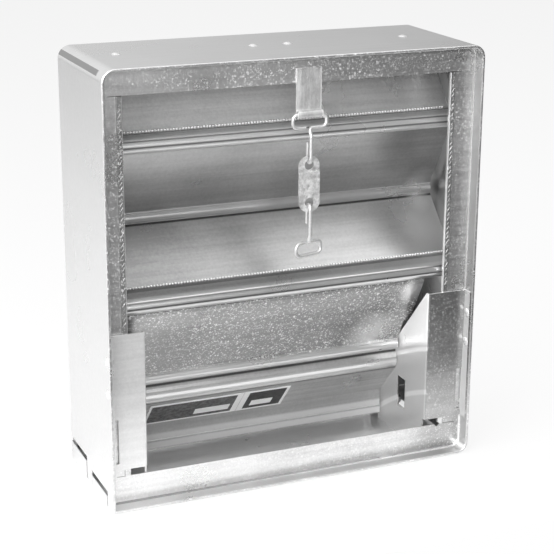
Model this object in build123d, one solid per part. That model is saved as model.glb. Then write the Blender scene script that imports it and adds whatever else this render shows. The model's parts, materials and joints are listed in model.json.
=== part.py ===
from build123d import *
import math
import os

# Curtain fire damper, shown closed. Millimetres, +Z up, front towards -Y.
# The model is drawn with y = 0 at the front edge of the frame and moved at the end,
# so that the origin is at the middle of the foot.

# Frame: one folded strip of sheet
width = 305.0
height = 338.0
depth = 114.0
sheet = 1.2
rim_depth = 12.0
left_flange_width = 18.1
right_flange_width = 23.6
top_flange_width = 21.5
bottom_flange_width = 24.5
corner_radius = 10.0
rim_round = 1.05
side_hem = 4.8
hem_round = 0.72
edge_tolerance = 0.01
seam = 0.5
relief_hole = 4.0
drill_depth = 10.0

# Closing corner at the bottom left: notches in the wall, upturned tabs of the floor
notch_heights = [13.0, 19.5]
notch_opening = 4.5
tab_slit = 1.6
tab_gap = 0.5
notch_spans = [(0.125, 0.495), (0.608, 1.0)]

# Curtain: places of the joints as shares of the depth and of the drop from head to foot
blade_sheet = 0.8
bead_radius = 5.0
joint_clearance = 0.3
curl_margin = 3.0
mouth_steps = 8
front_curl_tips = {0: 10.9, 2: 14.9}
joint_depths = [0.754, 0.338, 0.649, 0.197, 0.526]
joint_drops = [0.0, 0.1766, 0.3784, 0.5456, 0.7746]
crease_depth = 0.215
crease_drop = 0.577
neck_depth = 0.518
neck_drop = 0.8407
neck_bulge = 2.4
neck_steps = 6
knee_depth = 0.759
knee_drop = 0.9327
foot_height = 9.4
foot_hem = 7.0
blade_side_gap = 4.6

# Turn of each blade against the one above it when the curtain is folded up, in degrees
fold_turns = [-22.0, 74.3, -89.5, 68.2, -120.0]

# Head rail
rail_sheet = 1.0
rail_front = 0.46
rail_lap = 0.4
rail_end_gap = 1.0
rail_rivet_places = [-0.4035, -0.049, 0.044, 0.3665]
rail_rivet_depth = 0.52

# Rivets
rivet_shank = 4.0
rivet_head = 7.6
rivet_dome = 1.3
rivet_fit = 0.05
guide_rivet_depth = 0.45

# Lock guides
guide_sheet = 1.2
guide_bottom = 31.0
guide_top = 139.0
guide_reach = 13.0
guide_ramp_depth = 68.6
guide_ramp_foot = 78.0
guide_shelf = 70.0
guide_lip = 1.5
guide_bend = 2.0
guide_clear = 0.4
guide_rear_gap = 7.0
guide_slot_width = 5.0
guide_slot_bottom = 36.0
guide_slot_top = 72.0
guide_rivet_heights = [96.0, 121.0]
bottom_blade_gap = 2.4
corner_reach = 5.5
corner_top = 106.0
lock_window_depth = 51.4
lock_window = (13.0, 26.5)
lock_window_bottom = 26.5
lock_tab_length = 6.0
lock_tab_gap = 0.5
lock_tab_lean = 35.0

# Fusible link and its hooks, hung from the head flange
link_offset = 10.0
strap_width = 20.4
strap_sheet = 1.0
strap_top_gap = 8.1
strap_drop = 23.0
wire = 2.8
wire_clearance = 0.3
loop_width = 27.4
loop_height = 10.6
lower_loop_width = 24.0
lower_loop_height = 10.0
lower_loop_turn = 15.0
loop_end_gap = 0.5
hook_radius = 3.0
upper_shank = 28.5
hook_tip = 15.0
lower_shank = 29.3
link_width = 17.0
link_height = 43.0
link_plate = 0.8
link_film = 0.3
link_hole = 7.4
link_hole_inset = 7.0
link_corner = 7.5
link_step_gap = 1.8
loop_turn_share = 0.42
hook_bend_share = 0.97

# Retaining strap behind the curtain
retainer_length = 150.0
retainer_hook = 5.0

# Labels on the bottom blade
label_height = 33.5
label_thickness = 0.2
large_label_span = (-101.0, -21.0)
small_label_span = (-20.4, 20.0)
label_knee_gap = 1.0

curl_inner = bead_radius + joint_clearance
curl_outer = curl_inner + blade_sheet
rim_inner = width / 2 - 2 * sheet
flange_front = rim_depth
flange_rear = rim_depth + sheet
opening_left = -width / 2 + left_flange_width
opening_right = width / 2 - right_flange_width
opening_top = height - top_flange_width
opening_bottom = bottom_flange_width
head_joint_height = height - sheet - rail_sheet + rail_lap - curl_outer
drop = head_joint_height - foot_height
blade_half = width / 2 - sheet - blade_side_gap
bottom_start = opening_left + guide_reach + bottom_blade_gap
bottom_end = opening_right - guide_reach - bottom_blade_gap
rail_half = width / 2 - corner_radius - rail_end_gap


def place(depth_share, drop_share):
    """Point of the curtain in the y-z plane."""
    return Vector(depth * depth_share, head_joint_height - drop * drop_share)


joints = [place(*shares) for shares in zip(joint_depths, joint_drops)]
crease = place(crease_depth, crease_drop)
neck = place(neck_depth, neck_drop)
knee = place(knee_depth, knee_drop)
foot = Vector(knee.X, foot_height)


def along_x(face, start, end):
    """Prism of a y-z face between two x planes."""
    return extrude(Plane.YZ.offset(start) * face, amount=end - start, dir=(1, 0, 0))


def along_y(face, start, end):
    """Prism of an x-z face between two y planes."""
    return extrude(Plane.XZ.offset(-start) * face, amount=end - start, dir=(0, 1, 0))


def block(x, y, z):
    """Box between pairs of limits."""
    size = [pair[1] - pair[0] for pair in (x, y, z)]
    middle = [(pair[0] + pair[1]) / 2 for pair in (x, y, z)]
    return Pos(*middle) * Box(*size)


def turn_of(start, end):
    """Direction from one y-z point to another, in degrees from +y towards +z."""
    return math.degrees(math.atan2(end.Y - start.Y, end.X - start.X))


def ring(centre, inner, outer):
    return Pos(centre.X, centre.Y) * (Circle(outer) - Circle(inner))


def strip(points, thickness):
    """Sheet profile along a line of y-z points."""
    return trace(Polyline(*[(p.X, p.Y) for p in points]), line_width=thickness)


def outline(inset):
    """Frame outline set in from the outside; only the closing corner is sharp."""
    face = Pos(0, height / 2) * Rectangle(width - 2 * inset, height - 2 * inset)
    bent = [v for v in face.vertices() if v.X > 0 or v.Y > height / 2]
    return fillet(bent, corner_radius - inset)


def rivet(grip):
    """Rivet along +z with its outer head on the plane z = 0 and the grip below it."""
    dome_radius = (rivet_head ** 2 / 4 + rivet_dome ** 2) / (2 * rivet_dome)
    ball = Pos(0, 0, rivet_dome - dome_radius) * Sphere(dome_radius)
    dome = ball & Pos(0, 0, rivet_dome / 2) * Box(rivet_head, rivet_head, rivet_dome)
    shank = Pos(0, 0, -grip / 2) * Cylinder(rivet_shank / 2, grip)
    return dome + shank + Pos(0, 0, -grip) * Rot(180, 0, 0) * dome


def rail_rivet_spots():
    return [Vector(width * share, depth * rail_rivet_depth) for share in rail_rivet_places]


def guide_rivet_spots():
    return [Vector(rim_depth * guide_rivet_depth, z) for z in guide_rivet_heights]


def make_frame():
    body = along_y(outline(0) - outline(sheet), 0, depth)
    opening = Pos((opening_left + opening_right) / 2, (opening_top + opening_bottom) / 2) * Rectangle(
        opening_right - opening_left, opening_top - opening_bottom)
    for mirrored in (False, True):
        rim = along_y(outline(sheet) - outline(2 * sheet), 0, flange_rear)
        flange = along_y(outline(sheet) - opening, flange_front, flange_rear)
        for side, edge in ((-1, opening_left), (1, opening_right)):
            hem = block(sorted((edge, edge + side * side_hem)), (flange_front - sheet, flange_front),
                        (opening_bottom, opening_top))
            hem_edges = hem.edges().filter_by(Axis.Z).group_by(Axis.Y)[0]
            flange += fillet(hem_edges, hem_round)
            for level in (opening_bottom, opening_top):
                slit_x = sorted((edge, side * (rim_inner - side_hem)))
                flange -= block(slit_x, (flange_front - sheet, flange_rear),
                                (level - seam / 2, level + seam / 2))
        rim += flange
        if mirrored:
            rim = mirror(rim, Plane.XZ.offset(-depth / 2))
        body += rim
    relief = Pos(opening_right, opening_bottom) * Circle(relief_hole / 2)
    body -= along_y(relief, flange_front - sheet, flange_rear)
    rim_edges = body.edges().filter_by_position(Axis.Y, -edge_tolerance, edge_tolerance)
    rim_edges += body.edges().filter_by_position(Axis.Y, depth - edge_tolerance, depth + edge_tolerance)
    body = fillet(rim_edges, rim_round)
    wall = (-width / 2 - sheet, -width / 2 + sheet)
    for share, notch_height in zip(notch_spans, notch_heights):
        tab_height = notch_height - notch_opening
        start, end = [depth * s for s in share]
        stop = end + sheet if share[1] == 1.0 else end
        notch = block(wall, (start, stop), (sheet, notch_height))
        notch += block(wall, (start, start + tab_slit), (0, notch_height))
        tab_end = stop if share[1] == 1.0 else end - tab_gap
        notch -= block(wall, (start + tab_slit, tab_end), (0, tab_height))
        body -= notch
    for spot in rail_rivet_spots():
        body -= Pos(spot.X, spot.Y, height) * Cylinder(rivet_shank / 2 + rivet_fit, drill_depth)
    for spot in guide_rivet_spots():
        for side in (-1, 1):
            drill = Rot(0, 90, 0) * Cylinder(rivet_shank / 2 + rivet_fit, drill_depth)
            body -= Pos(side * width / 2, spot.X, spot.Y) * drill
    return body


def curl(centre, first, last):
    """Open curl about a joint, with its mouth between two directions."""
    spread = math.degrees(math.asin((blade_sheet / 2 + joint_clearance) / curl_inner)) + curl_margin
    low = min(first, last) - spread
    high = max(first, last) + spread
    steps = [low + (high - low) * i / mouth_steps for i in range(mouth_steps + 1)]
    rays = [(math.cos(math.radians(a)), math.sin(math.radians(a))) for a in steps]
    reach = 2 * curl_outer
    mouth = Polygon((0, 0), *[(reach * c, reach * s) for c, s in rays], align=None)
    return ring(centre, curl_inner, curl_outer) - Pos(centre.X, centre.Y) * mouth


def curl_lip(centre, above, reach):
    """Free end of a front curl, drawn up to lie against the front of its own blade."""
    radius = curl_inner + blade_sheet / 2
    way = turn_of(centre, above)
    touch = math.radians(way) + math.acos(radius / reach)
    low = centre + Vector(radius * math.cos(touch), radius * math.sin(touch))
    high = centre + (above - centre).normalized() * reach
    return strip([low, high], blade_sheet)


def bulged(start, end):
    """Points of a shallow arc that bows forward between two y-z points."""
    way = end - start
    front = Vector(-abs(way.Y), math.copysign(way.X, way.X * way.Y)).normalized()
    shares = [i / neck_steps for i in range(1, neck_steps)]
    return [start + way * t + front * (4 * neck_bulge * t * (1 - t)) for t in shares] + [end]


def shortened(start, end, cut_start, cut_end):
    """Points near the two ends of a line, moved in along it."""
    way = (end - start).normalized()
    return start + way * cut_start, end - way * cut_end


def blade_profile(number):
    """Blade with a bead on its top joint and, but for the bottom one, a curl on its lower joint."""
    top = joints[number]
    bead = ring(top, bead_radius - blade_sheet, bead_radius)
    if number == 4:
        line = [neck]
    elif number == 3:
        line = [crease, joints[4]]
    else:
        line = [joints[number + 1]]
    start, _ = shortened(top, line[0], bead_radius - blade_sheet / 2, 0)
    points = [start] + line
    if number == 4:
        clear, _ = shortened(top, neck, curl_outer + 2 * joint_clearance, 0)
        points = [start, clear] + bulged(clear, neck) + [knee, foot]
        hem_top = Vector(foot.X - blade_sheet, foot_height + foot_hem)
        hem_foot = Vector(foot.X - blade_sheet, foot_height)
        return bead + strip(points, blade_sheet) + strip([hem_top, hem_foot], blade_sheet)
    lower = joints[number + 1]
    _, stop = shortened(points[-2], lower, 0, curl_inner + blade_sheet / 2)
    points[-1] = stop
    next_point = [joints[2], joints[3], crease, neck][number]
    way = turn_of(lower, next_point)
    profile = bead + strip(points, blade_sheet) + curl(lower, way, way + fold_turns[number + 1])
    if number in front_curl_tips:
        profile += curl_lip(lower, points[-2], front_curl_tips[number])
    return profile


def make_blade(number):
    """The lower two run between the guides, and blade 4 reaches past them where it lies clear."""
    profile = blade_profile(number)
    if number < 3:
        return along_x(profile, -blade_half, blade_half)
    if number == 4:
        return along_x(profile, bottom_start, bottom_end)
    end = bottom_end + corner_reach
    blade = along_x(profile, -blade_half, end)
    for corner in ((-blade_half, bottom_start), (bottom_end, end)):
        blade -= block(corner, (0, depth), (0, corner_top))
    return blade


def make_head_rail():
    top = height - sheet
    plate = Polygon((depth * rail_front, top - rail_sheet), (joints[0].X, top - rail_sheet),
                    (joints[0].X, top), (depth * rail_front, top), align=None)
    way = turn_of(joints[0], joints[1])
    rail = along_x(plate + curl(joints[0], way, way + fold_turns[0]), -rail_half, rail_half)
    for spot in rail_rivet_spots():
        rail -= Pos(spot.X, spot.Y, top) * Cylinder(rivet_shank / 2 + rivet_fit, drill_depth)
    return rail


def make_rail_rivets():
    one = rivet(sheet + rail_sheet)
    return Compound([Pos(spot.X, spot.Y, height) * one for spot in rail_rivet_spots()])


def make_guide(side):
    """Guide on the +x side, mirrored for the other one."""
    face_rear = flange_front - sheet
    face_front = face_rear - guide_sheet
    leg_inner = (opening_right if side > 0 else -opening_left) - guide_reach
    leg = (leg_inner, leg_inner + guide_sheet)
    floor = sheet
    lower_start = flange_rear + guide_clear
    rear = depth - flange_rear - guide_rear_gap
    leg_face = Polygon((face_front, guide_bottom), (face_front, guide_top), (flange_rear, guide_top),
                       (guide_ramp_depth, guide_ramp_foot), (guide_ramp_depth, guide_shelf),
                       (rear, guide_shelf), (rear, floor),
                       (lower_start, floor), (lower_start, guide_bottom), align=None)
    guide = along_x(leg_face, *leg)
    guide += block((leg[0], rim_inner), (face_front, face_rear), (guide_bottom, guide_top))
    guide += block((rim_inner - guide_sheet, rim_inner), (guide_lip, face_rear),
                   (guide_bottom, guide_top))
    bend = guide.edges().filter_by(Axis.Z).filter_by_position(
        Axis.X, leg[0] - edge_tolerance, leg[0] + edge_tolerance)
    guide = fillet(bend.group_by(Axis.Y)[0], guide_bend)
    guide -= block((rim_inner - guide_sheet - guide_slot_width, rim_inner - guide_sheet),
                   (face_front, face_rear), (guide_slot_bottom, guide_slot_top))
    window_front = lock_window_depth - lock_window[0] / 2
    window = ((window_front, window_front + lock_window[0]),
              (lock_window_bottom, lock_window_bottom + lock_window[1]))
    guide -= block(leg, *window)
    tab = Pos(0, 0, lock_tab_length / 2) * Box(
        guide_sheet, lock_window[0] - 2 * lock_tab_gap, lock_tab_length)
    tab = Pos(leg[0] + guide_sheet / 2, lock_window_depth, lock_window_bottom - guide_sheet
              ) * Rot(0, lock_tab_lean, 0) * tab
    guide += tab
    for spot in guide_rivet_spots():
        drill = Rot(0, 90, 0) * Cylinder(rivet_shank / 2 + rivet_fit, drill_depth)
        guide -= Pos(rim_inner, spot.X, spot.Y) * drill
    return guide if side > 0 else mirror(guide, Plane.YZ)


def make_guide_rivets(side):
    one = Rot(0, 90, 0) * rivet(2 * sheet + guide_sheet)
    pair = Compound([Pos(width / 2, spot.X, spot.Y) * one for spot in guide_rivet_spots()])
    return pair if side > 0 else mirror(pair, Plane.YZ)


strap_loop_inner = wire / 2 + wire_clearance
strap_loop_outer = strap_loop_inner + strap_sheet
strap_eye = Vector(flange_front - strap_loop_outer, opening_top - strap_drop)


def make_strap():
    front = flange_front - strap_sheet
    top = height - 2 * sheet - strap_top_gap
    flat = Polygon((front, strap_eye.Y), (flange_front, strap_eye.Y), (flange_front, top),
                   (front, top), align=None)
    half = strap_width / 2
    return along_x(flat + ring(strap_eye, strap_loop_inner, strap_loop_outer),
                   link_offset - half, link_offset + half)


def wire_along(points, radii):
    """Round wire along straight runs joined by arcs."""
    path = FilletPolyline(*points, radius=radii)
    start = path @ 0
    way = path % 0
    return sweep(Plane(start, z_dir=way) * Circle(wire / 2), path=path)


link_top = strap_eye.Y - loop_height - upper_shank + link_hole_inset
link_middle = link_top - link_height / 2
upper_pin = link_top - link_hole_inset + link_hole / 2 - wire / 2 - wire_clearance
lower_pin = link_top - link_height + link_hole_inset - link_hole / 2 + wire / 2 + wire_clearance
hook_depth = strap_eye.X


def hook_points(bar, pin, tip, loop_half, loop_size):
    """Wire centre line from the loop's free end, round the loop, down the shank and round the hook.

    The heights may run down or up; the loop lies in the plane of its shank.
    """
    down = math.copysign(1, bar - pin)
    near = bar - down * loop_size
    free = link_offset - wire - loop_end_gap
    rise = hook_radius * 2
    return [(free, hook_depth, near),
            (link_offset - loop_half, hook_depth, near),
            (link_offset - loop_half, hook_depth, bar),
            (link_offset + loop_half, hook_depth, bar),
            (link_offset + loop_half, hook_depth, near),
            (link_offset, hook_depth, near),
            (link_offset, hook_depth - hook_radius, near - down * rise),
            (link_offset, hook_depth - hook_radius, pin),
            (link_offset, hook_depth + hook_radius, pin),
            (link_offset, hook_depth + hook_radius, pin + down * tip)]


def hook_radii(loop_size):
    turn = loop_size * loop_turn_share
    bend = hook_radius * hook_bend_share
    return [turn, turn, turn, turn, wire, wire, bend, bend]


def make_upper_hook():
    points = hook_points(strap_eye.Y, upper_pin, hook_tip, loop_width / 2, loop_height)
    return wire_along(points, hook_radii(loop_height))


def make_lower_hook():
    bar = lower_pin - lower_shank - lower_loop_height
    points = hook_points(bar, lower_pin, hook_tip, lower_loop_width / 2, lower_loop_height)
    axis = Vector(link_offset, hook_depth)
    turned = []
    for point in points:
        flat = Vector(point[0], point[1])
        if point[0] != link_offset:
            flat = (flat - axis).rotate(Axis.Z, lower_loop_turn) + axis
        turned.append((flat.X, flat.Y, point[2]))
    return wire_along(turned, hook_radii(lower_loop_height))


def link_blank(low, high):
    """Half of the link between two heights, rounded at its outer end."""
    full = Pos(link_offset, link_middle) * RectangleRounded(link_width, link_height, link_corner)
    part = full & Pos(link_offset, (low + high) / 2) * Rectangle(link_width, high - low)
    for z in (link_top - link_hole_inset, link_top - link_height + link_hole_inset):
        part -= Pos(link_offset, z) * Circle(link_hole / 2)
    return part


def make_link():
    low = link_top - link_height
    upper_edge = link_top - link_hole_inset - link_hole / 2 - link_step_gap
    lower_edge = low + link_hole_inset + link_hole / 2 + link_step_gap
    middle = hook_depth
    front = middle - link_film / 2 - link_plate
    rear = middle + link_film / 2 + link_plate
    return {"link_front_plate": along_y(link_blank(low, upper_edge), front, front + link_plate),
            "link_back_plate": along_y(link_blank(lower_edge, link_top), rear - link_plate, rear),
            "link_solder": along_y(link_blank(lower_edge, upper_edge), front + link_plate,
                                   rear - link_plate)}


def make_retaining_strap():
    front = depth - flange_front
    top = height - 2 * sheet - strap_top_gap
    low = top - retainer_length
    flat = Polygon((front, low), (front + strap_sheet, low), (front + strap_sheet, top),
                   (front, top), align=None)
    hook_line = strip([Vector(front + strap_sheet / 2, low + strap_sheet / 2),
                       Vector(front + retainer_hook, low + strap_sheet / 2),
                       Vector(front + retainer_hook, low + 2 * retainer_hook)], strap_sheet)
    half = strap_width / 2
    return along_x(flat + hook_line, link_offset - half, link_offset + half)


def make_label(span):
    """Thin sticker on the front of the bottom blade, just above its knee."""
    way = (knee - neck).normalized()
    outward = Vector(way.Y, -way.X)
    if outward.X > 0:
        outward = outward * -1
    low = knee - way * label_knee_gap + outward * (blade_sheet + label_thickness) * 0.5
    return along_x(strip([low - way * label_height, low], label_thickness), *span)


def make_parts():
    parts = {"frame": make_frame(), "head_rail": make_head_rail(),
             "head_rail_rivets": make_rail_rivets()}
    for number in range(4):
        parts["blade_%d" % (number + 1)] = make_blade(number)
    parts["bottom_blade"] = make_blade(4)
    for name, side in (("left", -1), ("right", 1)):
        parts[name + "_lock_guide"] = make_guide(side)
        parts[name + "_guide_rivets"] = make_guide_rivets(side)
    parts["link_strap"] = make_strap()
    parts["upper_hook"] = make_upper_hook()
    parts.update(make_link())
    parts["lower_hook"] = make_lower_hook()
    parts["retaining_strap"] = make_retaining_strap()
    parts["large_label"] = make_label(large_label_span)
    parts["small_label"] = make_label(small_label_span)
    return {name: Pos(0, -depth / 2, 0) * shape for name, shape in parts.items()}


if __name__ == "__main__":
    os.makedirs("parts", exist_ok=True)
    for name, shape in make_parts().items():
        export_step(shape, "parts/%s.step" % name)
    for joint in joints + [foot]:
        print("joint", round(joint.X - depth / 2, 3), round(joint.Y, 3))
    print("strap eye", round(strap_eye.X - depth / 2, 3), round(strap_eye.Y, 3))
    print("link pins", round(upper_pin, 3), round(lower_pin, 3), "link top", round(link_top, 3))
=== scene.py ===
import json
import math

import bmesh
import bpy
from mathutils import Matrix, Vector


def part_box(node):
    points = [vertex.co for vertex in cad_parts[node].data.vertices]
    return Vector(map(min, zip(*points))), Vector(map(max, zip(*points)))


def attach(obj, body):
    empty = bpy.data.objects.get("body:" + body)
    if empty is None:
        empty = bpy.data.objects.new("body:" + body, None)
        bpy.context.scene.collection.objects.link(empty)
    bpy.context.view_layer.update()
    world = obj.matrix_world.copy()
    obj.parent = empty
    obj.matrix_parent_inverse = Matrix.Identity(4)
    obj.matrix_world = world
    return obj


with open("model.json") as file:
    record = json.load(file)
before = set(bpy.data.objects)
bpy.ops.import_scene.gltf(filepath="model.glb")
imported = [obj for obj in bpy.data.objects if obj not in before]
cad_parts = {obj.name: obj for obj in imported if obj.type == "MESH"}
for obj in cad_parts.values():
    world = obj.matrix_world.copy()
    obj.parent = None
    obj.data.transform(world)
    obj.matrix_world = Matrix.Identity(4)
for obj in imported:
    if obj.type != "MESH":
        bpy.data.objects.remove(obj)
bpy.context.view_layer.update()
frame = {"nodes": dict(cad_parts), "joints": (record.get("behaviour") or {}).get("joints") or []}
nodes = frame["nodes"]

# Metres. The front of the damper faces -Y and it stands on z = 0.
MM = 0.001
IMAGE_SIDE = 554
FOCAL_PIXELS = 1558.5
SENSOR_WIDTH = 36.0
CAMERA_PLACE = Vector((-0.4567, -1.0865, 0.5274))
CAMERA_YAW = math.radians(23.0)
CAMERA_PITCH = math.radians(17.6)
CAMERA_ROLL = math.radians(0.32)

# Sizes of the frame, taken from its box and from the sheet it is folded from
frame_low, frame_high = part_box("frame")
WIDTH = frame_high[0] - frame_low[0]
HEIGHT = frame_high[2] - frame_low[2]
SHEET = 1.2 * MM
CORNER_RADIUS = 10.0 * MM
FLANGE_FACE = frame_high[1] - 12.0 * MM
OPENING_LEFT = -WIDTH / 2 + 18.1 * MM
OPENING_RIGHT = WIDTH / 2 - 23.6 * MM
OPENING_TOP = HEIGHT - 21.5 * MM
OPENING_BOTTOM = 24.5 * MM
GUIDE_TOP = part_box("left_lock_guide")[1][2]
HEM_WIDTH = 4.8 * MM
HEM_FACE = FLANGE_FACE + SHEET
# Radius of the painted highlight along the hem's inner edge
HEM_EDGE_HIGHLIGHT_RADIUS = 0.8 * MM
HEM_RIDGE_PITCH = 3.8 * MM
HEM_RIDGE_RADIUS = 0.3 * MM
HEM_RIDGE_LENGTH = 4.4 * MM
HEM_RIDGE_TILT = math.radians(35.0)
HEM_RIDGE_SIDES = 10
HEM_RIDGE_SEED = 7
HEM_RIDGE_SCALES = (0.45, 1.0)
LIP_BEAD_PITCH = 2.4 * MM
LIP_BEAD_RADIUS = 0.9 * MM
LIP_BEAD_LIFT = 1.2 * LIP_BEAD_RADIUS
LIP_BEAD_STRETCH = (1.3, 1.0, 1.0)

# The curtain. A place on it is given by its depth and height, and its hinges come from the frame.
BLADES = ["blade_1", "blade_2", "blade_3", "blade_4", "bottom_blade"]
HINGES = {joint["child"]: Vector(joint["pos_m"]).yz
          for joint in frame["joints"] if joint["child"] in BLADES}
BEAD = 5.0 * MM
CURL = 6.1 * MM
LIP_TIPS = {"blade_1": 10.9 * MM, "blade_3": 14.9 * MM}
LIP_SHADE_DROP = 3.4 * MM
LIP_SHADE_RADIUS = 2.4 * MM
# Painted shade: two dark lines along each front curl, and a dark band beside each bead
CURL_SHADE_LINES = [math.radians(140.0), math.radians(185.0)]
CURL_SHADE_LINE_RADIUS = 0.7 * MM
MARK_LAP = 0.3 * MM
BEAD_SHADE_WIDTH = 2.1 * MM

# Bottom blade, from its neck to its foot: painted highlights and painted shade lines; place and radius of
# a mark in millimetres, tone, strength, softness
BOTTOM_BLADE_LIGHT_MARKS = [((0.3, 65.5), 3.2, 0.98, 0.7, 0.15), ((2.05, 60.5), 1.0, 0.08, 0.6, 0.03),
                      ((29.5, 31.0), 7.0, 0.4, 0.25, 0.2), ((29.0, 12.2), 2.8, 1.0, 0.9, 0.12),
                      ((29.0, 19.0), 2.6, 1.0, 0.8, 0.2)]

# Tone, metallic share, specks, and painted brightening from left to right of each blade; the tones also
# differ from blade to blade as painted light
BLADE_LOOKS = {"blade_1": (0.7, 0.6, 0.0, 0.3), "blade_2": (0.48, 0.8, 0.0, -0.05),
               "blade_3": (0.48, 0.8, 0.0, 1.5), "blade_4": (0.38, 0.8, 0.85, -0.6),
               "bottom_blade": (0.6, 0.7, 0.0, -0.4)}

# Pale glints on the blades: place across and up in millimetres, radius, strength
GLINTS = {"blade_2": [((136.0, 217.0), 9.0, 0.6)],
          "blade_3": [((134.0, 203.0), 7.0, 0.6), ((122.0, 184.0), 13.0, 0.4)],
          "blade_4": [((113.0, 138.0), 9.0, 1.0), ((86.0, 96.0), 16.0, 0.8)]}

# Painted reflections and painted shade on the front flanges: the same, and their tone
FLANGE_LIGHT_AND_SHADE = [((-60.0, 327.0), 75.0, 0.45, 1.0), ((-75.0, 14.0), 60.0, 0.4, 1.0),
                ((138.0, 14.0), 26.0, 0.5, 0.3)]

# A straight edge between two tones is the edge of a very large round mark. These size the painted shade
# and painted reflections on the frame's inner walls, and the painted reflections and bend highlight on
# the right guide.
WALL_SHADE_ARC = 6.0
WALL_REFLECTION_PATCH = 20.0 * MM
LEG_EDGE = Vector((-18.5, 86.0)) * MM
LEG_SLOPE = Vector((0.42, 1.0))
LEG_ARC = 400.0 * MM
GUIDE_BEND_HIGHLIGHT_INSET = Vector((0.4, 0.4)) * MM
GUIDE_BEND_HIGHLIGHT_RADIUS = 2.6 * MM
LEG_REFLECTION_BANDS = [(2.0 * MM, 3.5 * MM, 0.6), (37.0 * MM, 4.0 * MM, 0.35)]

# Rounded inside of the rim's folds
BEND_RADIUS = 1.3 * MM
BEND_SINK = 0.1 * MM
BEND_STEPS = 6

# Zinc skin, in features for each metre, and the size and share of its specks
CLOUD_SCALE = 16.0
GRAIN_SCALE = 450.0
STREAK_SCALE = (7.0, 240.0, 240.0)
PATCH_SCALE = 30.0
SPECKS = [(1.2 * MM, 0.4), (2.0 * MM, 0.2)]
SPECK_TONE = 0.97

# Studio: name, place, aim, size and watts of each lamp, and the edges of the floor
LAMPS = [("key", (-1.3, -0.6, 0.8), (0.0, 0.0, 0.15), (1.6, 1.4), 26.0),
         ("top", (0.3, -0.5, 2.4), (0.3, 0.0, 0.2), (3.6, 1.6), 30.0),
         ("fill", (-0.5, -2.4, 0.8), (0.0, 0.0, 0.15), (1.6, 1.0), 34.0)]
FLOOR_FRONT, FLOOR_REAR, FLOOR_SIDE = -0.19, 4.0, 3.0
FLOOR_PAPER_SHARE = 0.8


class Value:
    """A socket in a shader tree; arithmetic on it adds Math nodes."""

    def __init__(self, tree, socket):
        self.tree = tree
        self.socket = socket

    def math(self, operation, *others, **settings):
        values = dict(enumerate((self,) + others))
        return self.tree.add("ShaderNodeMath", dict(settings, operation=operation), values)

    def __add__(self, other):
        return self.math("ADD", other)

    def __sub__(self, other):
        return self.math("SUBTRACT", other)

    def __rsub__(self, other):
        return self.tree.add("ShaderNodeMath", {"operation": "SUBTRACT"}, {0: other, 1: self})

    def __mul__(self, other):
        return self.math("MULTIPLY", other)

    def __gt__(self, other):
        return self.math("GREATER_THAN", other)

    def __lt__(self, other):
        return self.math("LESS_THAN", other)

    def clamped(self):
        return self.math("ADD", 0.0, use_clamp=True)


class Tree:
    """A node tree under construction."""

    def __init__(self, node_tree):
        self.nodes = node_tree.nodes
        self.links = node_tree.links
        self.nodes.clear()

    def add(self, kind, settings=None, inputs=None, out=0):
        """New node: its settings are set first, then the values or links of its sockets."""
        node = self.nodes.new(kind)
        for name, value in (settings or {}).items():
            if name == "stops":
                self.set_stops(node.color_ramp, value)
            else:
                setattr(node, name, value)
        for name, value in (inputs or {}).items():
            if isinstance(value, Value):
                self.links.new(value.socket, node.inputs[name])
            elif isinstance(value, list):
                for item in value:
                    self.links.new(item.socket, node.inputs[name])
            else:
                node.inputs[name].default_value = value
        return Value(self, node.outputs[out]) if node.outputs else node

    def set_stops(self, ramp, stops):
        while len(ramp.elements) < len(stops):
            ramp.elements.new(1.0)
        for element, (place, tone) in zip(ramp.elements, stops):
            element.position = place
            element.color = (tone, tone, tone, 1.0)

    def place(self):
        """Object coordinates, which are the damper's own metres."""
        return self.add("ShaderNodeTexCoord", out=3)

    def axes(self, vector):
        parts = self.add("ShaderNodeSeparateXYZ", None, {0: vector})
        return [Value(self, socket) for socket in parts.socket.node.outputs]

    def stretched(self, vector, scale):
        return self.add("ShaderNodeMapping", None, {"Vector": vector, "Scale": scale})

    def noise(self, vector, scale, detail=3.0, rough=0.5):
        return self.add("ShaderNodeTexNoise", None,
                        {"Vector": vector, "Scale": scale, "Detail": detail, "Roughness": rough})

    def ramp(self, value, stops):
        return self.add("ShaderNodeValToRGB", {"stops": stops}, {0: value})

    def between(self, value, start, end):
        """0 at the start, 1 at the end and no more beyond."""
        return self.add("ShaderNodeMapRange", None, {0: value, 1: start, 2: end})

    def blend(self, factor, first, second):
        """Colour between two others."""
        return self.add("ShaderNodeMix", {"data_type": "RGBA"}, {0: factor, 6: first, 7: second}, out=2)

    def bump(self, height, distance, strength):
        return self.add("ShaderNodeBump", None,
                        {"Height": height, "Distance": distance, "Strength": strength})

    def surface(self, **inputs):
        sockets = {name.replace("_", " "): value for name, value in inputs.items()}
        shader = self.add("ShaderNodeBsdfPrincipled", None, sockets)
        self.add("ShaderNodeOutputMaterial", None, {0: shader})


def grey(tone, alpha=1.0):
    return (tone, tone, tone, alpha)


def new_material(name):
    material = bpy.data.materials.new(name)
    material.use_nodes = True
    return material, Tree(material.node_tree)


def facing_front(tree):
    """1 on faces that look to the front or the rear, 0 on the others."""
    normal = tree.add("ShaderNodeTexCoord", out=1)
    along = tree.axes(normal)[1]
    return tree.ramp(along.math("ABSOLUTE"), [(0.6, 0.0), (0.8, 1.0)])


def specks(tree, place, size, share):
    """Round bright spots in a few of the cells of a fine grid."""
    cells = tree.add("ShaderNodeTexVoronoi", None, {"Vector": place, "Scale": 1 / size}, out=1)
    near = tree.add("ShaderNodeTexVoronoi", None, {"Vector": place, "Scale": 1 / size})
    chosen = tree.axes(cells)[0] > 1.0 - share
    return chosen * tree.ramp(near, [(0.25, 1.0), (0.55, 0.0)])


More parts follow.
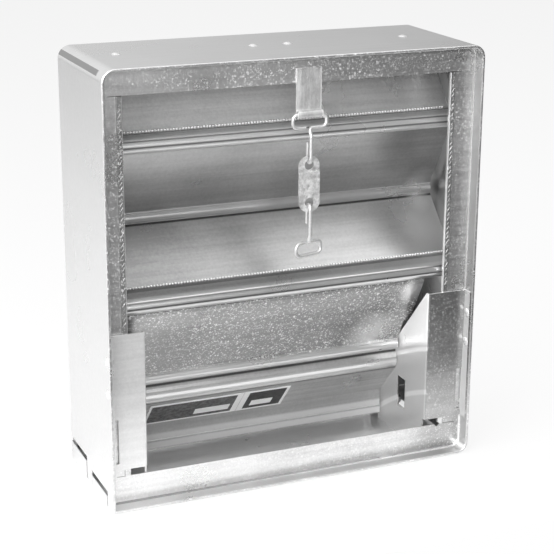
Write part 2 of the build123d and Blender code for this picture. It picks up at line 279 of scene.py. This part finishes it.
def mark(centre, outer, tone, strength, inner=0.0, axis=0, span=None, soft=0.03):
    """Tone painted on a sheet round a line along an axis, from an inner to an outer distance."""
    return {"centre": centre, "inner": inner, "outer": outer, "axis": axis, "span": span,
            "soft": soft, "tone": tone, "strength": strength}


def painted(tree, place, spot):
    """Strength of a mark at a place: full between its two distances, with soft edges.

    A mark round a line from front to rear shows only on faces that look to the front.
    """
    parts = tree.axes(place)
    along = parts.pop(spot["axis"])
    first = parts[0] - spot["centre"][0]
    second = parts[1] - spot["centre"][1]
    away = (first * first + second * second).math("SQRT")
    blur = 2 * spot["soft"] * spot["outer"]
    amount = tree.between(away, spot["outer"] + blur, spot["outer"] - blur) * spot["strength"]
    if spot["inner"]:
        amount = amount * tree.between(away, spot["inner"] - blur, spot["inner"] + blur)
    if spot["span"]:
        amount = amount * inside(along, *spot["span"])
    if spot["axis"] == 1:
        amount = amount * (tree.axes(tree.add("ShaderNodeTexCoord", out=1))[1] < 0.0)
    return amount


def inside(value, low, high):
    return (value > low) * (value < high)


def zinc(name, tone, spread, speck=0.0, rough=(0.22, 0.36), metal=0.9, side=None, light_lean=0.0, marks=()):
    """Zinc-coated sheet: soft drawn streaks, faint clouds and fine bright specks.

    Side holds the tone and metallic share of smooth faces that look sideways or up.
    Its lean is painted light: how much the sheet is brightened from the left end to the right one.
    """
    material, tree = new_material(name)
    place = tree.place()
    cloud = tree.noise(place, CLOUD_SCALE, 4.0, 0.55)
    grain = tree.noise(place, GRAIN_SCALE, 2.0, 0.6)
    streak = tree.noise(tree.stretched(place, STREAK_SCALE), 1.0, 4.0, 0.55)
    shade = (cloud - 0.5) * 0.9 + (streak - 0.5) * 0.8 + (grain - 0.5) * 0.5
    dark, pale, metallic = grey(tone * 0.65), grey(min(1.0, tone * 1.35)), metal
    bright = 0.0
    if speck:
        fine, coarse = [specks(tree, place, *kind) for kind in SPECKS]
        bright = fine + coarse
        patchy = tree.ramp(tree.noise(place, PATCH_SCALE, 3.0), [(0.3, 0.45), (0.6, 1.0)])
        bright = (bright * patchy * speck).clamped()
    if side:
        front = facing_front(tree)
        bright = front * bright
        shade = shade * (front * 0.6 + 0.4)
        metallic = front * (metal - side[1]) + side[1]
        dark = tree.blend(front, grey(side[0] * 0.85), dark)
        pale = tree.blend(front, grey(min(1.0, side[0] * 1.15)), pale)
    # Painted light: brighter towards one end of the sheet
    if light_lean:
        shade = shade + tree.axes(place)[0] * (light_lean / WIDTH)
    colour = tree.blend((shade * spread + 0.5).clamped(), dark, pale)
    for spot in marks:
        colour = tree.blend(painted(tree, place, spot), colour, grey(spot["tone"]))
    roughness = cloud * (rough[1] - rough[0]) + rough[0]
    if speck:
        colour = tree.blend(bright, colour, grey(SPECK_TONE))
        roughness = roughness + bright * 0.25
        metallic = metallic - bright * 0.45 if side else bright * -0.45 + metal
    tree.surface(Base_Color=colour, Metallic=metallic, Roughness=roughness,
                 Normal=tree.bump(grain + streak * 0.6, 0.0001, 0.12))
    return material


def blade_marks(name):
    """Painted highlights on the bead and the curl, painted shade where the sheet leaves the bead, dark
    painted shade lines along a front curl and under its lip, and painted glints.
    """
    number = BLADES.index(name)
    edge = BEAD + MARK_LAP
    # Painted highlight on the bead, and painted shade beside it
    marks = [mark(HINGES[name], edge, 0.95, 0.8),
             mark(HINGES[name], edge + BEAD_SHADE_WIDTH, 0.03, 0.9, inner=edge)]
    if name != BLADES[-1]:
        lower = HINGES[BLADES[number + 1]]
        # Painted highlight on this blade's curl
        marks.append(mark(lower, CURL + MARK_LAP, 0.9, 0.7, inner=BEAD))
        if name in LIP_TIPS:
            # Dark painted shade lines along the curl, and painted shade under its lip
            for turn in CURL_SHADE_LINES:
                rim = lower + CURL * Vector((math.cos(turn), math.sin(turn)))
                marks.append(mark(rim, CURL_SHADE_LINE_RADIUS, 0.08, 0.7, soft=0.1))
            way = (HINGES[name] - lower).normalized()
            under = lower + way * (LIP_TIPS[name] - LIP_SHADE_DROP)
            marks.append(mark(under, LIP_SHADE_RADIUS, 0.12, 0.6))
    else:
        # Painted highlights and painted shade on the bottom blade's neck, knee and foot
        for centre, outer, tone, strength, soft in BOTTOM_BLADE_LIGHT_MARKS:
            marks.append(mark(Vector(centre) * MM, outer * MM, tone, strength, soft=soft))
    for centre, outer, strength in GLINTS.get(name, ()):
        marks.append(mark(Vector(centre) * MM, outer * MM, 1.0, strength, axis=1, soft=0.3))
    return marks


def leg_marks():
    """Right guide: a painted highlight on the bend; painted reflections on the leg, its lower part darker
    with two bright bands; and painted shade on the side lip.
    """
    low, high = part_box("right_lock_guide")
    leg = (low[0] - SHEET, low[0] + SHEET)
    lip = (high[0] - SHEET, high[0] + SHEET)
    away = LEG_EDGE - LEG_ARC * LEG_SLOPE.normalized()
    # Painted reflections on the leg: darker below a slanting edge, with two bright bands
    bands = [mark(away, LEG_ARC, 0.3, 0.75, span=leg, soft=0.003)]
    for drop, thick, strength in LEG_REFLECTION_BANDS:
        top = LEG_ARC - drop
        bands.append(mark(away, top, 0.95, strength, inner=top - thick, span=leg, soft=0.001))
    # Painted shade on the side lip, and a painted highlight on the bend
    return bands + [mark(Vector((0.0, GUIDE_TOP / 2)), GUIDE_TOP, 0.35, 0.6, span=lip),
                    mark(Vector(low[:2]) + GUIDE_BEND_HIGHLIGHT_INSET, GUIDE_BEND_HIGHLIGHT_RADIUS, 1.0, 0.9, axis=2)]


def frame_marks():
    """Painted shade on the inner walls with two painted reflections on them, painted reflections and
    shade on the front flanges, painted shade on the hem between its crimps, and a painted highlight along
    the hem's edge.
    """
    far = Vector((WALL_SHADE_ARC - FLANGE_FACE, HEIGHT / 2))
    inner, outer = WIDTH / 2 - 2.5 * SHEET, WIDTH / 2 - 0.5 * SHEET
    front = (-FLANGE_FACE - SHEET, -FLANGE_FACE + SHEET)
    # Painted shade on the inner side walls
    marks = [mark(far, WALL_SHADE_ARC, 0.15, 0.8, span=(inner, outer), soft=0.0001),
             mark(far, WALL_SHADE_ARC, 0.15, 0.8, span=(-outer, -inner), soft=0.0001),
             mark(Vector((-FLANGE_FACE, HEIGHT / 2)), HEIGHT, 0.2, 0.25, span=(inner, outer))]
    # Painted reflections and painted shade on the front flanges
    for centre, radius, strength, tone in FLANGE_LIGHT_AND_SHADE:
        marks.append(mark(Vector(centre) * MM, radius * MM, tone, strength, axis=1, span=front, soft=0.2))
    for side, edge in ((-1, OPENING_LEFT), (1, OPENING_RIGHT)):
        hem = Vector((edge + side * HEM_WIDTH / 2, -HEM_FACE))
        span = (GUIDE_TOP, OPENING_TOP)
        # Painted shade on the hem, and a painted highlight along its edge
        marks += [mark(hem, HEM_WIDTH / 2, 0.2, 0.5, axis=2, span=span),
                  mark(Vector((edge, -HEM_FACE)), HEM_EDGE_HIGHLIGHT_RADIUS, 1.0, 0.9, axis=2, span=span)]
    # Painted reflections on the inner side walls
    for hinge in ("blade_3", "blade_4"):
        patch = HINGES[hinge] + Vector((WALL_REFLECTION_PATCH, 0.0))
        marks.append(mark(patch, WALL_REFLECTION_PATCH, 0.95, 0.7, span=(inner, outer), soft=0.2))
    return marks


def plated_wire():
    material, tree = new_material("plated_wire")
    place = tree.place()
    wear = tree.noise(place, 600.0, 3.0)
    colour = tree.blend(wear, grey(0.7), grey(0.97))
    tree.surface(Base_Color=colour, Metallic=0.7, Roughness=wear * 0.2 + 0.3,
                 Normal=tree.bump(wear, 0.0001, 0.3))
    return material


def tinned_plate():
    """Dull tinned plate with a dimpled, blotched skin."""
    material, tree = new_material("tinned_plate")
    place = tree.place()
    blotch = tree.noise(place, 260.0, 4.0, 0.65)
    dimple = tree.noise(place, 700.0, 2.0)
    colour = tree.blend(tree.ramp(blotch, [(0.3, 0.0), (0.7, 1.0)]), grey(0.45), grey(0.97))
    tree.surface(Base_Color=colour, Metallic=0.55, Roughness=blotch * 0.3 + 0.3,
                 Normal=tree.bump(blotch + dimple * 0.6, 0.0006, 0.8))
    return material


def strap_metal():
    """Strap with a scuffed, blotched face and painted highlights along its edges, the left one wider."""
    material, tree = new_material("strap_metal")
    low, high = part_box("link_strap")
    place = tree.place()
    across = tree.axes(place)[0]
    middle = (low[0] + high[0]) / 2
    half = (high[0] - low[0]) / 2
    sideways = (across - middle) * (0.5 / half) + 0.5
    # Painted highlights along the strap's edges
    edge = tree.ramp(sideways, [(0.04, 1.0), (0.2, 0.0), (0.93, 0.0), (0.97, 1.0)])
    scuff = tree.noise(tree.stretched(place, (420.0, 420.0, 90.0)), 1.0, 4.0, 0.65)
    blot = tree.noise(place, 230.0, 4.0, 0.65)
    light = (scuff * 0.7 + blot * 0.8 - 0.35 + edge * 0.7).clamped()
    colour = tree.blend(light, grey(0.5), grey(1.0))
    tree.surface(Base_Color=colour, Metallic=0.6, Roughness=blot * 0.25 + 0.28,
                 Normal=tree.bump(scuff + blot, 0.0004, 0.6))
    return material


def solder():
    material, tree = new_material("solder_film")
    place = tree.place()
    lump = tree.noise(place, 900.0, 3.0)
    colour = tree.blend(lump, grey(0.35), grey(0.6))
    tree.surface(Base_Color=colour, Metallic=0.8, Roughness=lump * 0.2 + 0.4,
                 Normal=tree.bump(lump, 0.0002, 0.5))
    return material


def label(node, name, margins, box_start, box_end, darkness):
    """Dark printed field with pale margins (left, right, ends) and one pale blank box; no words."""
    material, tree = new_material(name)
    low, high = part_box(node)
    place = tree.place()
    across, _, up = tree.axes(place)
    left, right, end = margins
    field = inside(across, low[0] + left, high[0] - right)
    field = field * inside(up, low[2] + end, high[2] - end)
    width = high[0] - low[0]
    rise = high[2] - low[2]
    box = inside(across, low[0] + width * box_start, low[0] + width * box_end)
    box = box * inside(up, low[2] + rise * 0.2, low[2] + rise * 0.48)
    scuff = tree.noise(place, 300.0, 4.0, 0.6)
    worn = tree.ramp(scuff, [(0.35, 0.0), (0.65, 1.0)])
    ink = tree.blend(worn, grey(darkness * 0.5), grey(darkness * 2.2))
    paper = tree.blend(scuff, grey(0.92), grey(1.0))
    colour = tree.blend(field * (1 - box), paper, ink)
    tree.surface(Base_Color=colour, Roughness=scuff * 0.2 + 0.35, Normal=tree.bump(scuff, 0.00005, 0.2))
    return material


def grown_piece(name, group, sizes, material, body):
    """Finished piece from a geometry tree and the sizes of its inputs."""
    holder = bpy.data.objects.new(name, bpy.data.meshes.new(name))
    bpy.context.scene.collection.objects.link(holder)
    modifier = holder.modifiers.new("tree", "NODES")
    modifier.node_group = group
    for item in group.interface.items_tree:
        if item.in_out == "INPUT":
            modifier[item.identifier] = sizes[item.name]
    bpy.context.view_layer.update()
    seen = holder.evaluated_get(bpy.context.evaluated_depsgraph_get())
    mesh = bpy.data.meshes.new_from_object(seen)
    bpy.data.objects.remove(holder)
    mesh.materials.clear()
    mesh.materials.append(material)
    mesh.polygons.foreach_set("use_smooth", [True] * len(mesh.polygons))
    return piece(name, mesh, body)


def piece(name, mesh, body):
    mesh.name = name
    thing = bpy.data.objects.new(name, mesh)
    bpy.context.scene.collection.objects.link(thing)
    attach(thing, body)
    return thing


def hem_ridges(material):
    """Slanting crimp marks along the folded inner edges of the side flanges, front and rear."""
    group = bpy.data.node_groups.new("hem_ridges", "GeometryNodeTree")
    sizes = {"Pitch": HEM_RIDGE_PITCH, "Radius": HEM_RIDGE_RADIUS, "Length": HEM_RIDGE_LENGTH}
    for name in sizes:
        group.interface.new_socket(name, in_out="INPUT", socket_type="NodeSocketFloat")
    group.interface.new_socket("Marks", in_out="OUTPUT", socket_type="NodeSocketGeometry")
    tree = Tree(group)
    given = tree.add("NodeGroupInput").socket.node.outputs
    pitch, radius, length = [Value(tree, given[name]) for name in sizes]
    step = tree.add("ShaderNodeCombineXYZ", None, {2: pitch})
    stroke = tree.add("GeometryNodeMeshCylinder", None,
                      {"Vertices": HEM_RIDGE_SIDES, "Radius": radius, "Depth": length})
    least, most = HEM_RIDGE_SCALES
    uneven = tree.add("FunctionNodeRandomValue", {"data_type": "FLOAT"},
                      {2: least, 3: most, 8: HEM_RIDGE_SEED}, out=1)
    rows = []
    for face, low in ((-1, GUIDE_TOP), (1, OPENING_BOTTOM)):
        count = int((OPENING_TOP - low) / HEM_RIDGE_PITCH) - 2
        for side, edge in ((-1, OPENING_LEFT), (1, OPENING_RIGHT)):
            start = (edge + side * HEM_WIDTH / 2, face * HEM_FACE, low + 2 * HEM_RIDGE_PITCH)
            line = tree.add("GeometryNodeMeshLine", None,
                            {"Count": count, "Start Location": start, "Offset": step})
            rows.append(tree.add("GeometryNodeInstanceOnPoints", None,
                                 {"Points": line, "Instance": stroke, "Scale": uneven,
                                  "Rotation": (0.0, HEM_RIDGE_TILT, 0.0)}))
    joined = tree.add("GeometryNodeJoinGeometry", None, {0: rows})
    real = tree.add("GeometryNodeRealizeInstances", None, {0: joined})
    coated = tree.add("GeometryNodeSetMaterial", None, {"Geometry": real, "Material": material})
    tree.add("NodeGroupOutput", None, {0: coated})
    return grown_piece("hem_ridge_marks", group, sizes, material, "frame")


def lip_beads(body, material):
    """Fine dotted bead along the free edge of a blade's front curl."""
    name = body + "_lip_beads"
    top, low = HINGES[body], HINGES[BLADES[BLADES.index(body) + 1]]
    group = bpy.data.node_groups.new(name, "GeometryNodeTree")
    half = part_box(body)[1][0] - LIP_BEAD_PITCH
    sizes = {"Pitch": LIP_BEAD_PITCH, "Radius": LIP_BEAD_RADIUS}
    for size_name in sizes:
        group.interface.new_socket(size_name, in_out="INPUT", socket_type="NodeSocketFloat")
    group.interface.new_socket("Beads", in_out="OUTPUT", socket_type="NodeSocketGeometry")
    tree = Tree(group)
    given = tree.add("NodeGroupInput").socket.node.outputs
    pitch, radius = [Value(tree, given[size_name]) for size_name in sizes]
    way = (top - low).normalized()
    edge = low + way * LIP_TIPS[body] + Vector((-way.y, way.x)) * LIP_BEAD_LIFT
    line = tree.add("GeometryNodeMeshLine", None,
                    {"Count": int(2 * half / LIP_BEAD_PITCH), "Start Location": (-half, edge.x, edge.y),
                     "Offset": tree.add("ShaderNodeCombineXYZ", None, {0: pitch})})
    ball = tree.add("GeometryNodeMeshUVSphere", None, {"Segments": 8, "Rings": 6, "Radius": radius})
    beads = tree.add("GeometryNodeInstanceOnPoints", None,
                     {"Points": line, "Instance": ball, "Scale": LIP_BEAD_STRETCH})
    real = tree.add("GeometryNodeRealizeInstances", None, {0: beads})
    coated = tree.add("GeometryNodeSetMaterial", None, {"Geometry": real, "Material": material})
    tree.add("NodeGroupOutput", None, {0: coated})
    return grown_piece(name, group, sizes, material, body)


def rim_path(inset):
    """Points and inward directions round the inside of the rim; the closing corner is sharp."""
    half = WIDTH / 2 - inset
    radius = CORNER_RADIUS - inset
    corners = [((half - radius, inset + radius), 270), ((half - radius, HEIGHT - inset - radius), 0),
               ((-half + radius, HEIGHT - inset - radius), 90)]
    path = [((-half, inset), (1.0, 1.0))]
    for (x, z), first in corners:
        for step in range(BEND_STEPS + 1):
            angle = math.radians(first + 90 * step / BEND_STEPS)
            out = (math.cos(angle), math.sin(angle))
            path.append(((x + radius * out[0], z + radius * out[1]), (-out[0], -out[1])))
    return path


def rim_bend(name, face, material):
    """Rounded inside of the fold between the rim and a flange; face is -1 in front, 1 at the rear."""
    section = [(-BEND_SINK, -BEND_SINK), (-BEND_SINK, BEND_RADIUS)]
    for step in range(BEND_STEPS + 1):
        angle = math.pi / 2 * step / BEND_STEPS
        section.append((BEND_RADIUS * (1 - math.cos(angle)), BEND_RADIUS * (1 - math.sin(angle))))
    section.append((BEND_RADIUS, -BEND_SINK))
    path = rim_path(2 * SHEET)
    points = []
    for (x, z), (in_x, in_z) in path:
        for inward, forward in section:
            points.append((x + in_x * inward, face * (FLANGE_FACE + forward), z + in_z * inward))
    size = len(section)
    faces = []
    for i in range(len(path)):
        for j in range(size):
            k = (i + 1) % len(path)
            n = (j + 1) % size
            faces.append((i * size + j, i * size + n, k * size + n, k * size + j))
    mesh = bpy.data.meshes.new(name)
    mesh.from_pydata(points, [], faces)
    shape = bmesh.new()
    shape.from_mesh(mesh)
    bmesh.ops.recalc_face_normals(shape, faces=shape.faces)
    shape.to_mesh(mesh)
    shape.free()
    mesh.polygons.foreach_set("use_smooth", [True] * len(mesh.polygons))
    mesh.materials.append(material)
    return piece(name, mesh, "frame")


def dress(names, material):
    for name in names:
        mesh = nodes[name].data
        mesh.materials.clear()
        mesh.materials.append(material)


def make_camera():
    forward = Vector((math.sin(CAMERA_YAW) * math.cos(CAMERA_PITCH),
                      math.cos(CAMERA_YAW) * math.cos(CAMERA_PITCH), -math.sin(CAMERA_PITCH)))
    right = Vector((math.cos(CAMERA_YAW), -math.sin(CAMERA_YAW), 0.0))
    up = right.cross(forward)
    turned_right = right * math.cos(CAMERA_ROLL) + up * math.sin(CAMERA_ROLL)
    turned_up = up * math.cos(CAMERA_ROLL) - right * math.sin(CAMERA_ROLL)
    data = bpy.data.cameras.new("camera")
    data.sensor_width = SENSOR_WIDTH
    data.lens = FOCAL_PIXELS / IMAGE_SIDE * SENSOR_WIDTH
    data.clip_end = 20.0
    camera = bpy.data.objects.new("camera", data)
    turn = Matrix((turned_right, turned_up, -forward)).transposed().to_4x4()
    camera.matrix_world = Matrix.Translation(CAMERA_PLACE) @ turn
    bpy.context.scene.collection.objects.link(camera)
    bpy.context.scene.camera = camera


def make_lamp(name, place, aim, size, power):
    data = bpy.data.lights.new(name, "AREA")
    data.shape = "RECTANGLE"
    data.size, data.size_y = size
    data.energy = power
    lamp = bpy.data.objects.new(name, data)
    lamp.location = place
    lamp.rotation_euler = (Vector(aim) - Vector(place)).to_track_quat("-Z", "Y").to_euler()
    bpy.context.scene.collection.objects.link(lamp)


def make_world():
    """Pale studio: white behind the damper and above it, a dimmer room in front."""
    world = bpy.data.worlds.new("studio")
    bpy.context.scene.world = world
    world.use_nodes = True
    tree = Tree(world.node_tree)
    across, along, up = tree.axes(tree.add("ShaderNodeTexCoord", out=0))
    depth_glow = tree.ramp(along * 0.5 + 0.5, [(0.3, 0.15), (0.62, 0.85)])
    side_glow = tree.ramp(across * 0.5 + 0.5, [(0.55, 1.0), (0.8, 0.4)])
    glow = depth_glow * side_glow
    ray = tree.add("ShaderNodeLightPath")
    tone = tree.blend(ray, glow, grey(1.0))
    shade = tree.add("ShaderNodeBackground", None, {0: tone, 1: 1.0})
    tree.add("ShaderNodeOutputWorld", None, {0: shade})


def make_floor():
    material, tree = new_material("pale_floor")
    ray = tree.add("ShaderNodeLightPath")
    matte = tree.add("ShaderNodeBsdfDiffuse", None, {0: grey(0.9)})
    paper = tree.add("ShaderNodeEmission", None, {0: grey(1.0), 1: 1.0})
    mixed = tree.add("ShaderNodeMixShader", None, {0: ray * FLOOR_PAPER_SHARE, 1: matte, 2: paper})
    tree.add("ShaderNodeOutputMaterial", None, {0: mixed})
    mesh = bpy.data.meshes.new("floor")
    corners = [(-FLOOR_SIDE, FLOOR_FRONT, 0), (FLOOR_SIDE, FLOOR_FRONT, 0),
               (FLOOR_SIDE, FLOOR_REAR, 0), (-FLOOR_SIDE, FLOOR_REAR, 0)]
    mesh.from_pydata(corners, [], [(0, 1, 2, 3)])
    mesh.materials.append(material)
    floor = bpy.data.objects.new("floor", mesh)
    bpy.context.scene.collection.objects.link(floor)


make_camera()
make_world()
make_floor()
for lamp in LAMPS:
    make_lamp(*lamp)

dress(["frame", "retaining_strap", "head_rail"],
      zinc("zinc_frame", 0.73, 1.0, speck=0.6, metal=0.85, side=(0.7, 0.8), marks=frame_marks()))
dress(["left_lock_guide"], zinc("zinc_left_guide", 0.86, 0.6, speck=0.15, metal=0.45, side=(0.8, 0.6)))
# Its sideways leg gets a paler, less metallic tone than its front face: painted light on the side that
# faces the key lamp
dress(["right_lock_guide"],
      zinc("zinc_right_guide", 0.5, 0.9, speck=0.35, metal=0.9, side=(1.0, 0.2), marks=leg_marks()))
for name, (tone, metal, speck, light_lean) in BLADE_LOOKS.items():
    dress([name], zinc("zinc_" + name, tone, 0.9, speck=speck, metal=metal, light_lean=light_lean,
                       marks=blade_marks(name)))
dress(["link_strap"], strap_metal())
dress(["head_rail_rivets", "left_guide_rivets", "right_guide_rivets"],
      zinc("rivet_steel", 0.9, 0.8, metal=0.6, rough=(0.2, 0.35)))
dress(["upper_hook", "lower_hook"], plated_wire())
dress(["link_front_plate", "link_back_plate"], tinned_plate())
dress(["link_solder"], solder())
dress(["large_label"],
      label("large_label", "large_label_print", (2 * MM, 5 * MM, 1.7 * MM), 0.52, 0.9, 0.085))
dress(["small_label"],
      label("small_label", "small_label_print", (5 * MM, 2.6 * MM, 1.7 * MM), 0.25, 0.72, 0.03))

# The crimp ridges get a whiter, less metallic zinc than the frame: a painted highlight on them
hem_ridges(zinc("zinc_crimp", 1.0, 0.3, metal=0.3, rough=(0.25, 0.4)))
# The lip beads get a whiter, less metallic zinc than the blades: a painted highlight along the lip's edge
bead_highlight_metal = zinc("zinc_lip_bead", 1.0, 0.3, metal=0.25, rough=(0.2, 0.3))
for name in LIP_TIPS:
    lip_beads(name, bead_highlight_metal)
bright_fold = zinc("zinc_fold", 0.75, 0.8, metal=0.7, rough=(0.2, 0.32))
rim_bend("front_rim_fold", -1, bright_fold)
rim_bend("rear_rim_fold", 1, bright_fold)

scene = bpy.context.scene
scene.view_settings.view_transform = "Standard"
